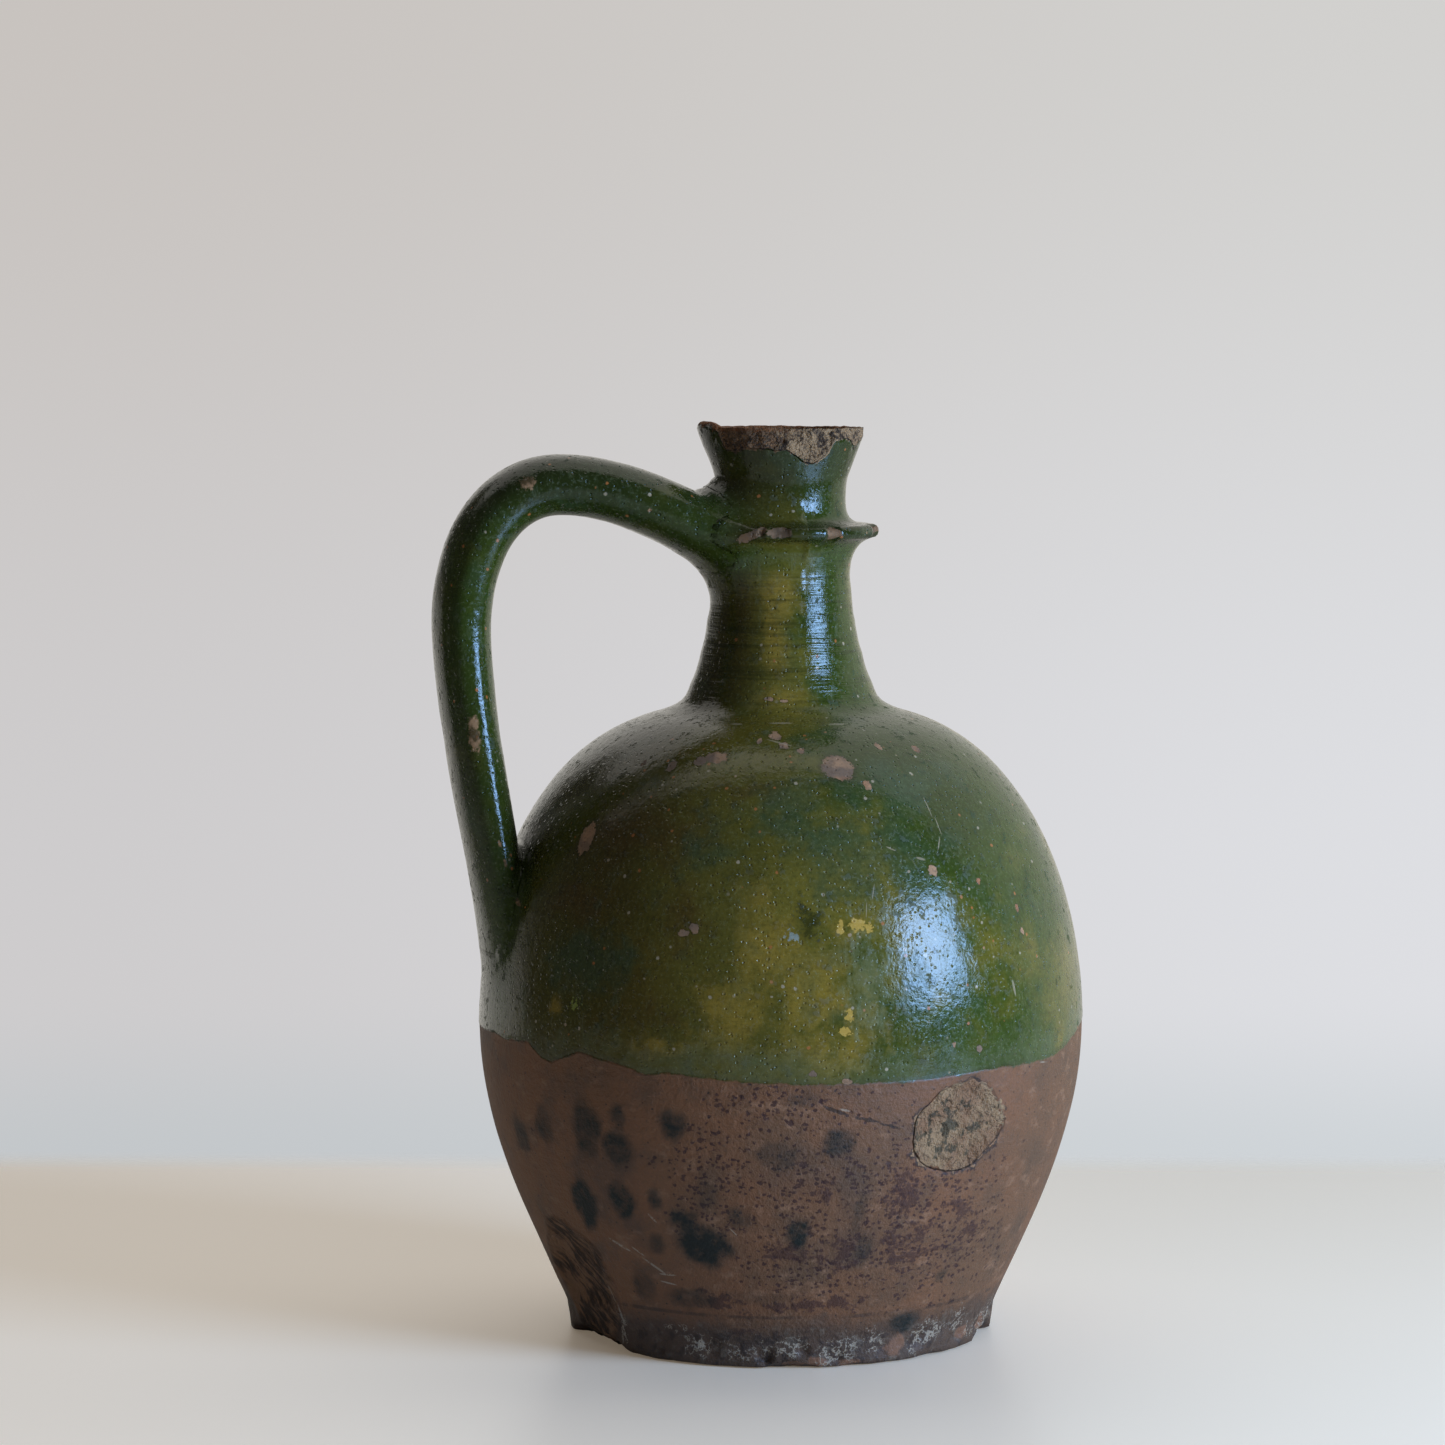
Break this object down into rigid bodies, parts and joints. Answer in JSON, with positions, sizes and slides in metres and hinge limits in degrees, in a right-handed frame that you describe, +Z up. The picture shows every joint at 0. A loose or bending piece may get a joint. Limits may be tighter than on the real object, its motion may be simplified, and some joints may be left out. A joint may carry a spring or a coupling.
{
  "type": "oil jug",
  "caption": "Round-bellied earthenware jug with a narrow collared neck, a flared mouth and a strap handle, glazed above a bare foot.",
  "frame": {"origin": "centre of the base, on the jug's axis", "axes": "+Z up along the jug's axis, -X towards the handle, Y across the handle's plane"},
  "size_m": [0.2179, 0.2014, 0.3028],
  "materials": {
    "jug": "gloss"
  },
  "bodies": {
    "root": {"jug": "jug"}
  },
  "joints": []
}
